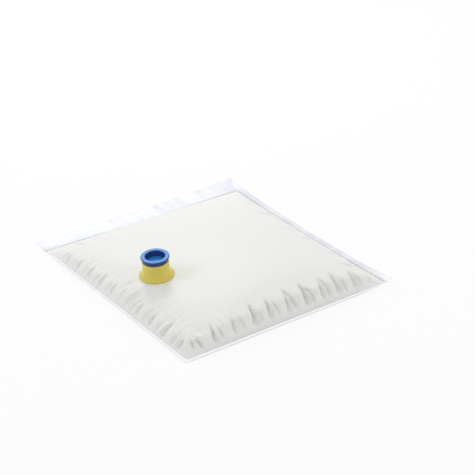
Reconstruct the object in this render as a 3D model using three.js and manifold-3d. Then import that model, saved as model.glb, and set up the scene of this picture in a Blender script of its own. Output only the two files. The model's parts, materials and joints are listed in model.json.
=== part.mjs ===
import * as THREE from 'three';
import { mergeVertices } from 'three/addons/utils/BufferGeometryUtils.js';
import Module from 'manifold-3d';

// A pillow bag of clear film, filled with a white liquid and lying flat, with a moulded spout and its cap.
// Millimetres, Z up. X runs along the near end of the bag, Y along its long sides, and the base is at Z 0.

const wasm = await Module();
wasm.setup();

// Outline of the bag, and the welded fin outside the liquid on each side
const BAG_WIDTH = 335;
const BAG_LENGTH = 370;
const FIN_NEAR = 7;
const FIN_RIGHT = 12;
const FIN_FAR = 33;
const FIN_LEFT = 7;
const FIN_THICKNESS = 0.8;

// The filled chamber pulls the middle of each side inwards by this much
const PULL_NEAR = 1.5;
const PULL_RIGHT = 4;
const PULL_FAR = 3;
const PULL_LEFT = 2;
const PULL_REACH = 60;

// Height of the weld above the floor, of the outer edge of each fin, and of the four corners
const SEAM_HEIGHT = 4.5;
const EDGE_NEAR = 1.2;
const EDGE_RIGHT = 3;
const EDGE_FAR = 6;
const EDGE_LEFT = 1.4;
const CORNER_NEAR_LEFT = 2;
const CORNER_NEAR_RIGHT = 9;
const CORNER_FAR_RIGHT = 9;
const CORNER_FAR_LEFT = 6;
const CORNER_SHARPNESS = 6;
const WELD_FOLLOW = 0.5;
const RIPPLE_HEIGHT = 1.4;
const RIPPLE_COUNT = 5;

// Side walls of the filled chamber: rise above the weld, and how far in the shoulder lies. The near and
// left walls stand up and bulge past the weld, and the right and far ones slope.
const WALL_NEAR = 24;
const WALL_RIGHT = 13;
const WALL_FAR = 12;
const WALL_LEFT = 14;
const SHOULDER_NEAR = 16;
const SHOULDER_RIGHT = 38;
const SHOULDER_FAR = 42;
const SHOULDER_LEFT = 10;
const BULGE_NEAR = 3;
const BULGE_LEFT = 2;
const BULGE_SPREAD = 4;
const WALL_BLEND = 12;
const CORNER_PINCH = 22;

// The top swells above the walls, and the base is flat inside a rounded edge
const CROWN_HEIGHT = 16;
const CROWN_POWER = 3;
const BELLY_RADIUS = 14;

// Pleats in the film of the walls: place along the side, half width, depth and reach onto the top
const PLEAT_TAPER = 0.4;
const PLEATS_NEAR = [
  [-138, 6, 4, 26],
  [-117, 7, 5, 38],
  [-88, 7, 4, 30],
  [-59, 8, 6, 52],
  [-35, 7, 5, 38],
  [-12, 7, 4, 30],
  [10, 7, 6, 50],
  [30, 8, 7, 64],
  [51, 7, 4, 34],
  [72, 8, 6, 56],
  [93, 7, 4, 34],
  [114, 8, 5, 44],
];
const PLEATS_RIGHT = [
  [-118, 9, 2.5, 34],
  [-62, 8, 2, 30],
  [4, 9, 2, 30],
  [70, 8, 2, 30],
];
const PLEATS_FAR = [
  [-112, 9, 2, 34],
  [-52, 8, 2, 30],
  [14, 9, 2, 36],
  [82, 8, 2, 30],
];
const PLEATS_LEFT = [
  [-150, 6, 3, 24],
  [-124, 8, 4.5, 40],
  [-81, 8, 4.5, 38],
  [-50, 7, 3.5, 30],
  [-30, 8, 4, 42],
  [-6, 7, 3, 28],
  [20, 7, 3.5, 30],
  [46, 8, 3.5, 32],
  [73, 7, 3, 26],
  [100, 8, 3, 28],
];

// Spout: its distance in from the left and near welds, how far it leans to the left, and its moulding
const SPOUT_FROM_LEFT = 56.5;
const SPOUT_FROM_NEAR = 153;
const SPOUT_LEAN = 4.6;
const SEAT_BLEND = 34;
const PATCH_OVERLAP = 3;
const PATCH_RISE = 0.5;
const PATCH_DEPTH = 8;
const FLANGE_RADIUS = 23.4;
const FLANGE_HEIGHT = 1.6;
const FLANGE_EDGE = 0.4;
const FLANGE_LEDGE = 1.2;
const FLARE_STEP = 0.6;
const NECK_RADIUS = 17;
const NECK_HEIGHT = 22;
const FLARE_HEIGHT = 10;
const BORE_RADIUS = 13.6;
const BORE_LEAD_IN = 0.8;
const LIP_RADIUS = 18.2;
const LIP_HEIGHT = 1.4;
const LIP_EDGE = 0.3;
const BAND_RADIUS = 17.6;
const BAND_HEIGHT = 0.9;
const BAND_PLACES = [11.5, 15.2];

// Cap: a rim that sits on the neck, with a finger recess in a plug that fits the bore
const CAP_RADIUS = 19;
const CAP_FOOT_RADIUS = 16.5;
const CAP_HEIGHT = 6.7;
const CAP_BAND_HEIGHT = 1.6;
const CAP_EDGE = 0.7;
const RECESS_MOUTH_RADIUS = 13.2;
const RECESS_FLOOR_RADIUS = 11.6;
const RECESS_DEPTH = 8;
const RECESS_EDGE = 0.5;
const CAP_FLOOR_THICKNESS = 1.6;
const PLUG_LENGTH = 9;
const PLUG_WALL = 1.6;
const PLUG_LEAD_IN = 0.6;

// Clearances and the fineness of the facets
const SEAT_GAP = 0.3;
const PLUG_CLEARANCE = 0.3;
const ROUND_SEGMENTS = 48;
const OUTLINE_POINTS = 208;
const HALF_POINTS = OUTLINE_POINTS / 2;
const QUARTER_POINTS = OUTLINE_POINTS / 4;
const WALL_RINGS = [0, 1.5, 4, 8, 13, 20, 29, 40, 53];
const TOP_RINGS = [[0.16, HALF_POINTS], [0.35, HALF_POINTS], [0.56, QUARTER_POINTS], [0.79, QUARTER_POINTS]];
const BELLY_RINGS = [[0, OUTLINE_POINTS], [0.36, OUTLINE_POINTS], [1, HALF_POINTS]];
const BASE_RING = 0.4;
const FIN_MIDDLE = 0.5;
const FLARE_STEPS = 6;

// Share of a wall's rise, at a share of the way in to its shoulder
const standing = (run) => Math.sqrt(1 - (1 - run) ** 2);
const sloping = (run) => Math.sin((Math.PI / 2) * run);

const SIDES = [
  {
    name: 'near', fin: FIN_NEAR, pull: PULL_NEAR, edge: EDGE_NEAR, pleats: PLEATS_NEAR,
    wall: WALL_NEAR, shoulder: SHOULDER_NEAR, bulge: BULGE_NEAR, profile: standing,
    from: CORNER_NEAR_LEFT, to: CORNER_NEAR_RIGHT,
  },
  {
    name: 'right', fin: FIN_RIGHT, pull: PULL_RIGHT, edge: EDGE_RIGHT, pleats: PLEATS_RIGHT,
    wall: WALL_RIGHT, shoulder: SHOULDER_RIGHT, bulge: 0, profile: sloping,
    from: CORNER_NEAR_RIGHT, to: CORNER_FAR_RIGHT,
  },
  {
    name: 'far', fin: FIN_FAR, pull: PULL_FAR, edge: EDGE_FAR, pleats: PLEATS_FAR,
    wall: WALL_FAR, shoulder: SHOULDER_FAR, bulge: 0, profile: sloping,
    from: CORNER_FAR_RIGHT, to: CORNER_FAR_LEFT,
  },
  {
    name: 'left', fin: FIN_LEFT, pull: PULL_LEFT, edge: EDGE_LEFT, pleats: PLEATS_LEFT,
    wall: WALL_LEFT, shoulder: SHOULDER_LEFT, bulge: BULGE_LEFT, profile: standing,
    from: CORNER_FAR_LEFT, to: CORNER_NEAR_LEFT,
  },
];

const CHAMBER = {
  left: -BAG_WIDTH / 2 + FIN_LEFT,
  right: BAG_WIDTH / 2 - FIN_RIGHT,
  near: -BAG_LENGTH / 2 + FIN_NEAR,
  far: BAG_LENGTH / 2 - FIN_FAR,
};
const MIDDLE_X = (CHAMBER.left + CHAMBER.right) / 2;
const MIDDLE_Y = (CHAMBER.near + CHAMBER.far) / 2;
const HALF_CHAMBER = Math.min(CHAMBER.right - MIDDLE_X, CHAMBER.far - MIDDLE_Y);
const SPOUT_X = CHAMBER.left + SPOUT_FROM_LEFT;
const SPOUT_Y = CHAMBER.near + SPOUT_FROM_NEAR;

// Distance from a point of the chamber to each of its four sides, in the order of SIDES
function distances(x, y) {
  return [y - CHAMBER.near, CHAMBER.right - x, CHAMBER.far - y, x - CHAMBER.left];
}

// Share of a side's rise at a distance in from its weld, level past the shoulder
function wallRise(side, distance) {
  return side.profile(THREE.MathUtils.clamp(distance / side.shoulder, 0, 1));
}

// Depth of the pleats that cross one wall, at a place along it and a distance in
function pleatDepth(side, along, distance) {
  let depth = 0;
  for (const [place, halfWidth, deep, reach] of side.pleats) {
    if (distance > 0 && distance < reach) {
      const inward = distance / reach;
      const width = halfWidth * (1 - PLEAT_TAPER * inward);
      const across = Math.exp(-(((along - place) / width) ** 2));
      const down = Math.sin(Math.PI * Math.sqrt(inward)) ** 2;
      depth += deep * across * down;
    }
  }
  return depth;
}

// Height of the top film over the chamber, before the spout flattens it
function filmTop(x, y) {
  const away = distances(x, y);
  let weights = 0;
  let walls = 0;
  let rise = 1;
  let pleats = 0;
  SIDES.forEach((side, index) => {
    const weight = 1 / (Math.max(away[index], 0) + WALL_BLEND) ** 2;
    weights += weight;
    walls += weight * side.wall;
    rise = Math.min(rise, wallRise(side, away[index]));
    pleats += pleatDepth(side, index % 2 === 0 ? x : y, away[index]);
  });
  const nearest = [...away].sort((a, b) => a - b);
  const pinch = 1 - Math.exp(-(nearest[0] + nearest[1]) / CORNER_PINCH);
  const across = (x - MIDDLE_X) / (CHAMBER.right - MIDDLE_X);
  const along = (y - MIDDLE_Y) / (CHAMBER.far - MIDDLE_Y);
  const crown = (1 - Math.abs(across) ** CROWN_POWER) * (1 - Math.abs(along) ** CROWN_POWER);
  const height = rise * pinch * (walls / weights) + CROWN_HEIGHT * crown;
  return SEAM_HEIGHT + Math.max(height - pleats, 0);
}

// The spout's own frame: its origin is the middle of the seat, its Z leans with the spout
const SEAT_HEIGHT = filmTop(SPOUT_X, SPOUT_Y);
const SPOUT_TURN = THREE.MathUtils.degToRad(-SPOUT_LEAN);
const PATCH_RADIUS = FLANGE_RADIUS + PATCH_OVERLAP;

// Height of the top film with the flat seat round the spout worked in
function seatedTop(x, y) {
  const reach = Math.hypot(x - SPOUT_X, y - SPOUT_Y);
  const blend = 1 - THREE.MathUtils.smoothstep(reach, PATCH_RADIUS, PATCH_RADIUS + SEAT_BLEND);
  const seat = SEAT_HEIGHT - PATCH_RISE - Math.tan(SPOUT_TURN) * (x - SPOUT_X);
  return THREE.MathUtils.lerp(filmTop(x, y), seat, blend);
}

// Height of a side's weld or outer edge: level along the middle, turned up or down at its corners
function edgeHeight(side, share, middle, follow) {
  const start = (1 - share) ** CORNER_SHARPNESS;
  const end = share ** CORNER_SHARPNESS;
  return middle + follow * ((side.from - middle) * start + (side.to - middle) * end);
}

// One ring of points round the bag, at given insets from the outline, with heights from a function
function ring(insets, count, height, bulging = false) {
  const [near, right, far, left] = insets;
  const corners = [
    [-BAG_WIDTH / 2 + left, -BAG_LENGTH / 2 + near],
    [BAG_WIDTH / 2 - right, -BAG_LENGTH / 2 + near],
    [BAG_WIDTH / 2 - right, BAG_LENGTH / 2 - far],
    [-BAG_WIDTH / 2 + left, BAG_LENGTH / 2 - far],
  ];
  const inwards = [[0, 1], [-1, 0], [0, -1], [1, 0]];
  const perSide = count / SIDES.length;
  const points = [];
  SIDES.forEach((side, index) => {
    const [x0, y0] = corners[index];
    const [x1, y1] = corners[(index + 1) % SIDES.length];
    const depth = Math.max(insets[index] - side.fin, 0);
    const hold = Math.max(1 - depth / PULL_REACH, 0);
    for (let step = 0; step < perSide; step += 1) {
      const share = step / perSide;
      const x = x0 + (x1 - x0) * share;
      const y = y0 + (y1 - y0) * share;
      const along = Math.sin(Math.PI * share);
      const swell = Math.sin(Math.PI * wallRise(side, depth)) * Math.min(1, BULGE_SPREAD * along);
      const pull = side.pull * along * hold - (bulging ? side.bulge * swell : 0);
      points.push([x + inwards[index][0] * pull, y + inwards[index][1] * pull, height(x, y, side, share)]);
    }
  });
  return points;
}

// Joins rings into one closed skin. Each ring has as many points as the last, half or twice as many,
// and a ring of one point closes an end. The rings run from the middle of the top to that of the base.
function skin(rings) {
  const positions = rings.flat(2);
  const index = [];
  let start = 0;
  for (let k = 0; k + 1 < rings.length; k += 1) {
    const inner = rings[k].length;
    const outer = rings[k + 1].length;
    const next = start + inner;
    const steps = Math.max(inner, outer);
    for (let step = 0; step < steps; step += 1) {
      const a = start + Math.floor((step * inner) / steps);
      const b = start + Math.floor(((step + 1) * inner) / steps) % inner;
      const c = next + Math.floor((step * outer) / steps);
      const d = next + Math.floor(((step + 1) * outer) / steps) % outer;
      if (c !== d) index.push(a, c, d);
      if (a !== b) index.push(a, d, b);
    }
    start = next;
  }
  const geometry = new THREE.BufferGeometry();
  geometry.setAttribute('position', new THREE.Float32BufferAttribute(positions, 3));
  geometry.setIndex(index);
  return geometry;
}

// A geometry as a solid for joining and cutting, and a solid back as a geometry
function toSolid(geometry, matrix = new THREE.Matrix4()) {
  const bare = geometry.clone().applyMatrix4(matrix);
  bare.deleteAttribute('normal');
  bare.deleteAttribute('uv');
  const merged = mergeVertices(bare, 1e-5);
  return new wasm.Manifold(new wasm.Mesh({
    numProp: 3,
    vertProperties: new Float32Array(merged.attributes.position.array),
    triVerts: new Uint32Array(merged.index.array),
  }));
}

function fromSolid(solid) {
  const mesh = solid.getMesh();
  const geometry = new THREE.BufferGeometry();
  geometry.setAttribute('position', new THREE.Float32BufferAttribute(mesh.vertProperties, 3));
  geometry.setIndex([...mesh.triVerts]);
  return geometry;
}

// A solid turned about Z from a profile of radius and height pairs
function turned(profile) {
  const points = profile.map(([radius, height]) => new THREE.Vector2(radius, height));
  return new THREE.LatheGeometry(points, ROUND_SEGMENTS).rotateX(Math.PI / 2);
}

function chamberInsets(inset) {
  return SIDES.map((side) => side.fin + inset);
}

// Heights of the film envelope, as functions of the place on a ring
const weldHeight = (side, share) => edgeHeight(side, share, SEAM_HEIGHT, WELD_FOLLOW);

function topHeight(inset) {
  const hold = 1 - THREE.MathUtils.smoothstep(inset, 0, BELLY_RADIUS);
  return (x, y, side, share) => {
    const film = Math.max(seatedTop(x, y), SEAM_HEIGHT) + FIN_THICKNESS / 2;
    return film + (weldHeight(side, share) - SEAM_HEIGHT) * hold;
  };
}

function bellyHeight(inset) {
  const run = 1 - Math.min(inset / BELLY_RADIUS, 1);
  return (x, y, side, share) => (weldHeight(side, share) - FIN_THICKNESS / 2) * run * run;
}

// A fin's face at a share of the way out from the weld: 1 for its upper face, -1 for its lower one
function finHeight(out, face) {
  return (x, y, side, share) => {
    const edge = edgeHeight(side, share, side.edge, 1);
    const size = side.name === 'far' ? RIPPLE_HEIGHT : 0;
    const ripple = size * out * Math.sin(2 * Math.PI * RIPPLE_COUNT * share) * Math.sin(Math.PI * share);
    return THREE.MathUtils.lerp(weldHeight(side, share), edge, out) + ripple + (face * FIN_THICKNESS) / 2;
  };
}

// The film envelope with its liquid: top, fins and base in one closed skin
function filledBag() {
  const chamberInsets = (inset) => SIDES.map((side) => side.fin + inset);
  const finInsets = (out) => SIDES.map((side) => side.fin * (1 - out));
  const deepest = WALL_RINGS[WALL_RINGS.length - 1];
  const crest = Math.max(seatedTop(MIDDLE_X, MIDDLE_Y), SEAM_HEIGHT) + FIN_THICKNESS / 2;
  const rings = [[[MIDDLE_X, MIDDLE_Y, crest]]];
  for (const [share, count] of [...TOP_RINGS].reverse()) {
    const inset = THREE.MathUtils.lerp(deepest, HALF_CHAMBER, share);
    rings.push(ring(chamberInsets(inset), count, topHeight(inset)));
  }
  for (const inset of [...WALL_RINGS].reverse()) {
    rings.push(ring(chamberInsets(inset), OUTLINE_POINTS, topHeight(inset), true));
  }
  for (const [out, face] of [[FIN_MIDDLE, 1], [1, 1], [1, -1], [FIN_MIDDLE, -1]]) {
    rings.push(ring(finInsets(out), OUTLINE_POINTS, finHeight(out, face)));
  }
  for (const [share, count] of BELLY_RINGS) {
    const inset = BELLY_RADIUS * share;
    rings.push(ring(chamberInsets(inset), count, bellyHeight(inset)));
  }
  const flat = THREE.MathUtils.lerp(BELLY_RADIUS, HALF_CHAMBER, BASE_RING);
  rings.push(ring(chamberInsets(flat), QUARTER_POINTS, bellyHeight(flat)));
  rings.push([[MIDDLE_X, MIDDLE_Y, 0]]);
  return skin(rings);
}

// The welded ring of film that the spout stands on, and the room above it that the film stays out of
function seatPatch() {
  return turned([
    [0, -PATCH_DEPTH],
    [PATCH_RADIUS, -PATCH_DEPTH],
    [PATCH_RADIUS, -PATCH_RISE],
    [PATCH_RADIUS - PATCH_RISE, 0],
    [0, 0],
  ]);
}

function seatRoom() {
  const reach = PATCH_RADIUS - PATCH_RISE;
  return turned([
    [0, 0],
    [reach, 0],
    [reach + NECK_HEIGHT, NECK_HEIGHT],
    [0, NECK_HEIGHT],
  ]);
}

// Yellow spout: weld flange, flared skirt, banded neck and lip round an open bore
function spoutProfile() {
  const profile = [
    [BORE_RADIUS, 0],
    [FLANGE_RADIUS - FLANGE_EDGE, 0],
    [FLANGE_RADIUS, FLANGE_EDGE],
    [FLANGE_RADIUS, FLANGE_HEIGHT],
  ];
  const flareFoot = FLANGE_HEIGHT + FLARE_STEP;
  const flareRadius = FLANGE_RADIUS - FLANGE_LEDGE;
  for (let step = 1; step <= FLARE_STEPS; step += 1) {
    const turn = (step / FLARE_STEPS) * (Math.PI / 2);
    profile.push([
      THREE.MathUtils.lerp(flareRadius, NECK_RADIUS, Math.sin(turn)),
      THREE.MathUtils.lerp(FLARE_HEIGHT, flareFoot, Math.cos(turn)),
    ]);
  }
  for (const place of BAND_PLACES) {
    profile.push([NECK_RADIUS, place]);
    profile.push([BAND_RADIUS, place + BAND_HEIGHT / 4]);
    profile.push([BAND_RADIUS, place + (BAND_HEIGHT * 3) / 4]);
    profile.push([NECK_RADIUS, place + BAND_HEIGHT]);
  }
  profile.push([NECK_RADIUS, NECK_HEIGHT - LIP_HEIGHT - (LIP_RADIUS - NECK_RADIUS)]);
  profile.push([LIP_RADIUS, NECK_HEIGHT - LIP_HEIGHT]);
  profile.push([LIP_RADIUS, NECK_HEIGHT - LIP_EDGE]);
  profile.push([LIP_RADIUS - LIP_EDGE, NECK_HEIGHT]);
  profile.push([BORE_RADIUS + BORE_LEAD_IN, NECK_HEIGHT]);
  profile.push([BORE_RADIUS, NECK_HEIGHT - BORE_LEAD_IN]);
  profile.push([BORE_RADIUS, 0]);
  return profile;
}

// Blue cap: rim with a tapered underside, finger recess, and the hollow plug below its floor
function capProfile() {
  const plugRadius = BORE_RADIUS - PLUG_CLEARANCE;
  const foot = NECK_HEIGHT + SEAT_GAP;
  const crest = foot + CAP_HEIGHT;
  const floor = crest - RECESS_DEPTH;
  const tip = foot - PLUG_LENGTH;
  return [
    [0, floor],
    [RECESS_FLOOR_RADIUS - RECESS_EDGE, floor],
    [RECESS_FLOOR_RADIUS, floor + RECESS_EDGE],
    [RECESS_MOUTH_RADIUS, crest - RECESS_EDGE],
    [RECESS_MOUTH_RADIUS + RECESS_EDGE, crest],
    [CAP_RADIUS - CAP_EDGE, crest],
    [CAP_RADIUS, crest - CAP_EDGE],
    [CAP_RADIUS, crest - CAP_BAND_HEIGHT],
    [CAP_RADIUS - CAP_EDGE, crest - CAP_BAND_HEIGHT - CAP_EDGE],
    [CAP_FOOT_RADIUS, foot],
    [plugRadius, foot],
    [plugRadius, tip + PLUG_LEAD_IN],
    [plugRadius - PLUG_LEAD_IN, tip],
    [plugRadius - PLUG_WALL, tip],
    [plugRadius - PLUG_WALL, floor - CAP_FLOOR_THICKNESS],
    [0, floor - CAP_FLOOR_THICKNESS],
  ].reverse();
}

// The spout and the cap stand in one leaning frame above the seat
const spoutFrame = new THREE.Matrix4()
  .makeTranslation(SPOUT_X, SPOUT_Y, SEAT_HEIGHT)
  .multiply(new THREE.Matrix4().makeRotationY(SPOUT_TURN));

function named(name, geometry, colour, roughness) {
  geometry.computeVertexNormals();
  const material = new THREE.MeshStandardMaterial({ color: colour, roughness, metalness: 0 });
  const mesh = new THREE.Mesh(geometry, material);
  mesh.name = name;
  return mesh;
}

const bagSolid = toSolid(filledBag())
  .add(toSolid(seatPatch(), spoutFrame))
  .subtract(toSolid(seatRoom(), spoutFrame));

const spoutGroup = new THREE.Group();
spoutGroup.position.set(SPOUT_X, SPOUT_Y, SEAT_HEIGHT);
spoutGroup.rotation.y = SPOUT_TURN;

const raised = new THREE.Group();
raised.position.z = SEAT_GAP;
raised.add(named('spout', turned(spoutProfile()), 0xb8a83c, 0.35));
raised.add(named('cap', turned(capProfile()), 0x0f4fb4, 0.3));
spoutGroup.add(raised);

const group = new THREE.Group();
group.add(named('filled_bag', fromSolid(bagSolid), 0xf1f1ee, 0.25));
group.add(spoutGroup);

export default group;
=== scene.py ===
# %% [markdown]
# A pillow bag of clear film lies on a white table. It is full of an opaque white liquid, and a yellow spout
# with a blue cap is welded to its top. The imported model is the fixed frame: it gives the sizes and the
# places, and every piece made here is drawn in metres in that same frame.

# %% Load the frame
import json
import math

import bmesh
import bpy
from mathutils import Matrix, Vector, noise


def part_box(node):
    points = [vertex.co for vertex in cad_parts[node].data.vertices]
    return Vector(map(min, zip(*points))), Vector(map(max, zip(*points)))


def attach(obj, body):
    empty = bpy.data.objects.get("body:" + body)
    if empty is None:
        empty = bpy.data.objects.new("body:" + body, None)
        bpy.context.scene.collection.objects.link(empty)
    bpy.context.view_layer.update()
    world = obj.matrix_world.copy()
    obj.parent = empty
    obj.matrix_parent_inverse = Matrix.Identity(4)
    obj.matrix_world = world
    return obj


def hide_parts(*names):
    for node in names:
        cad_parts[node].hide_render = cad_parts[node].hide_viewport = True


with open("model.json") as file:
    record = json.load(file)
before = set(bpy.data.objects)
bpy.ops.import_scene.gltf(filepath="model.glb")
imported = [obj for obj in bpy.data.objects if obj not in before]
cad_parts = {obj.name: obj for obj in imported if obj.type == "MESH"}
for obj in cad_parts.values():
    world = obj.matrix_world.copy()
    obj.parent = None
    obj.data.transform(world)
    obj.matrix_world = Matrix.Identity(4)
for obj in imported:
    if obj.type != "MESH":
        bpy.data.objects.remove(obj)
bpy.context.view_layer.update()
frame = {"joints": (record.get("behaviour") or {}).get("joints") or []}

scene = bpy.context.scene
MM = 0.001

# %% [markdown]
# Small helpers come first. A linear blend and a smooth step do most of the shaping on this object, because
# a soft thing has no sharp change from one rule to the next. A mesh could also be made with the operators
# of bpy.ops, but those depend on what is selected, so every piece here is a bmesh that becomes an object in
# one call.

# %% Helpers
def clamp(value, low=0.0, high=1.0):
    return max(low, min(high, value))


def lerp(start, end, share):
    return start + (end - start) * share


def smooth(low, high, value):
    share = clamp((value - low) / (high - low))
    return share * share * (3 - 2 * share)


def object_from(bm, name):
    """A bmesh as a smooth-shaded object at the origin."""
    mesh = bpy.data.meshes.new(name)
    bm.to_mesh(mesh)
    bm.free()
    mesh.polygons.foreach_set("use_smooth", [True] * len(mesh.polygons))
    piece = bpy.data.objects.new(name, mesh)
    scene.collection.objects.link(piece)
    return piece


print("one unit is a metre, and sizes are written times", MM)

# %% [markdown]
# The camera stands where the photographer stood. It could be placed by eye, but then every size read from
# the picture would be a little wrong. So its direction and its distance were worked out from the bag's four
# corners: a long lens looks down at about 29 degrees on the near corner. A small sideways step puts the bag
# off the middle of the picture, as it is in the photograph, with no lens shift.

# %% Camera
AZIMUTH = math.radians(-36.11)
ELEVATION = math.radians(28.71)
DISTANCE = 2.131
STEP_RIGHT = 0.0366
STEP_UP = 0.0370
FOCAL_PIXELS = 1556
PICTURE_PIXELS = 475

toward_camera = Vector((
    math.sin(AZIMUTH) * math.cos(ELEVATION),
    -math.cos(AZIMUTH) * math.cos(ELEVATION),
    math.sin(ELEVATION),
))
camera_right = (-toward_camera).cross(Vector((0, 0, 1))).normalized()
camera_up = camera_right.cross(-toward_camera)
camera_data = bpy.data.cameras.new("camera")
camera_data.sensor_width = 36
camera_data.lens = FOCAL_PIXELS * camera_data.sensor_width / PICTURE_PIXELS
camera_data.clip_end = 20
camera = bpy.data.objects.new("camera", camera_data)
scene.collection.objects.link(camera)
camera.location = toward_camera * DISTANCE + camera_right * STEP_RIGHT + camera_up * STEP_UP
camera.rotation_euler = (-toward_camera).to_track_quat("-Z", "Y").to_euler()
scene.camera = camera
print("camera at", [round(c, 3) for c in camera.location])

# %% [markdown]
# A product photograph of a white thing on white is lit from all around, with one large soft lamp behind the
# bag. The lamp rakes over the top of the film, so the walls that face the camera fall into a soft grey and
# show their creases. Two weaker lamps lift the near and left walls, and the world fills the rest. Point
# lamps would give hard dots on the glossy film, so all three are area lamps. The camera sees the world as
# pure white, but it lights the bag with less than that, so the white liquid doesn't burn out.

# %% Lights and world
KEY_PLACE = Vector((0.52, 1.02, 0.90))
KEY_WIDTH = 0.50
KEY_POWER = 6.0
SIDE_PLACE = Vector((-1.35, 0.75, 0.75))
SIDE_WIDTH = 0.8
SIDE_POWER = 3.8
FRONT_PLACE = Vector((1.3, -1.3, 0.8))
FRONT_WIDTH = 1.2
FRONT_POWER = 4.2
FILL_STRENGTH = 0.725

scene.view_settings.view_transform = "Standard"


def area_lamp(name, place, width, power):
    data = bpy.data.lights.new(name, "AREA")
    data.size = width
    data.energy = power
    lamp = bpy.data.objects.new(name, data)
    lamp.location = place
    lamp.rotation_euler = (-place).to_track_quat("-Z", "Y").to_euler()
    scene.collection.objects.link(lamp)


area_lamp("key_lamp", KEY_PLACE, KEY_WIDTH, KEY_POWER)
area_lamp("side_lamp", SIDE_PLACE, SIDE_WIDTH, SIDE_POWER)
area_lamp("front_lamp", FRONT_PLACE, FRONT_WIDTH, FRONT_POWER)

world = bpy.data.worlds.new("white_room")
scene.world = world
world.use_nodes = True
tree = world.node_tree
background = tree.nodes["Background"]
background.inputs["Color"].default_value = (1, 1, 1, 1)
path = tree.nodes.new("ShaderNodeLightPath")
strength = tree.nodes.new("ShaderNodeMapRange")
strength.inputs["To Min"].default_value = FILL_STRENGTH
strength.inputs["To Max"].default_value = 1.0
tree.links.new(path.outputs["Is Camera Ray"], strength.inputs["Value"])
tree.links.new(strength.outputs["Result"], background.inputs["Strength"])
print("three lamps of", KEY_POWER, SIDE_POWER, "and", FRONT_POWER, "watts, and a white world")

# %% [markdown]
# The table is one large plane. A plain white plane renders grey here, and more light would burn out the
# bag. So its material mixes two shaders: a white glow that only the camera, reflections and clear film see,
# and a diffuse paper that still takes the soft shadow of the bag.

# %% Floor
FLOOR_SIZE = 8.0
FLOOR_GLOW = 0.88

bm = bmesh.new()
bmesh.ops.create_grid(bm, x_segments=1, y_segments=1, size=FLOOR_SIZE / 2)
floor = object_from(bm, "floor")
paper = bpy.data.materials.new("white_floor")
paper.use_nodes = True
tree = paper.node_tree
diffuse = tree.nodes["Principled BSDF"]
diffuse.inputs["Base Color"].default_value = (0.9, 0.9, 0.9, 1)
diffuse.inputs["Roughness"].default_value = 0.9
diffuse.inputs["Specular IOR Level"].default_value = 0.0
glow = tree.nodes.new("ShaderNodeEmission")
path = tree.nodes.new("ShaderNodeLightPath")
camera_or_gloss = tree.nodes.new("ShaderNodeMath")
camera_or_gloss.operation = "MAXIMUM"
looked_at = tree.nodes.new("ShaderNodeMath")
looked_at.operation = "MAXIMUM"
glow_share = tree.nodes.new("ShaderNodeMath")
glow_share.operation = "MULTIPLY"
glow_share.inputs[1].default_value = FLOOR_GLOW
blend = tree.nodes.new("ShaderNodeMixShader")
tree.links.new(path.outputs["Is Camera Ray"], camera_or_gloss.inputs[0])
tree.links.new(path.outputs["Is Glossy Ray"], camera_or_gloss.inputs[1])
tree.links.new(camera_or_gloss.outputs[0], looked_at.inputs[0])
tree.links.new(path.outputs["Is Transmission Ray"], looked_at.inputs[1])
tree.links.new(looked_at.outputs[0], glow_share.inputs[0])
tree.links.new(glow_share.outputs[0], blend.inputs["Fac"])
tree.links.new(diffuse.outputs["BSDF"], blend.inputs[1])
tree.links.new(glow.outputs["Emission"], blend.inputs[2])
tree.links.new(blend.outputs["Shader"], tree.nodes["Material Output"].inputs["Surface"])
floor.data.materials.append(paper)
print("floor of", FLOOR_SIZE, "metres")

# %% [markdown]
# The bag is two flat films, welded along all four sides and swollen by what is in it. It could be sculpted
# from a rounded box, but then the welds and the creases would have to be guessed. Here it is described as a
# maker would: the outline from the frame, the width of each weld, and how high and how steeply each wall
# rises. All of it is in millimetres. The near and left walls stand up steeply, and the right and far ones
# slope down to the weld.

# %% Sizes of the bag
low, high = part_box("filled_bag")
BAG_WIDTH = (high[0] - low[0]) / MM
BAG_LENGTH = (high[1] - low[1]) / MM
SIDES = ("near", "right", "far", "left")
FIN = {"near": 2.6, "right": 12.0, "far": 33.0, "left": 2.2}
PULL = {"near": 1.0, "right": 4.0, "far": 3.0, "left": 1.5}
EDGE = {"near": 1.2, "right": 3.0, "far": 6.0, "left": 1.4}
WALL = {"near": 25.0, "right": 13.0, "far": 12.0, "left": 15.0}
SHOULDER = {"near": 10.0, "right": 38.0, "far": 42.0, "left": 8.0}
BULGE = {"near": 3.2, "right": 0.0, "far": 0.0, "left": 2.6}
CORNER = {("left", "near"): 2.0, ("right", "near"): 9.0, ("right", "far"): 9.0, ("left", "far"): 6.0}
CORNER_REACH = 28.0
SEAM_HEIGHT = 4.5
FIN_THICKNESS = 0.3
FLOOR_CLEARANCE = 0.5
FAR_TAPER = 7.0
CROWN_HEIGHT = 15.5
CROWN_POWER = 3.0
WALL_BLEND = 12.0
CORNER_PINCH = 32.0
BELLY_RADIUS = 14.0
EDGE_MIX = 45.0
PULL_REACH = 60.0

chamber = {
    "left": -BAG_WIDTH / 2 + FIN["left"],
    "right": BAG_WIDTH / 2 - FIN["right"],
    "near": -BAG_LENGTH / 2 + FIN["near"],
    "far": BAG_LENGTH / 2 - FIN["far"],
}
middle_x = (chamber["left"] + chamber["right"]) / 2
middle_y = (chamber["near"] + chamber["far"]) / 2
half_x = chamber["right"] - middle_x
half_y = chamber["far"] - middle_y
print("chamber", chamber)

# %% [markdown]
# A film doesn't stretch. So the flat sheet has to be as long as the way up each wall and over the top, and
# that is more than the straight way along the weld. The spare length at the weld is what gathers into
# creases. Each wall is walked along in equal steps of film, and every step says how far in and how high it
# has come.

# %% Walls, walked along the film
STANDING = ("near", "left")
WALK_STEPS = 60
TRUE_LENGTH_SHARES = (0.2, 0.8)


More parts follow.
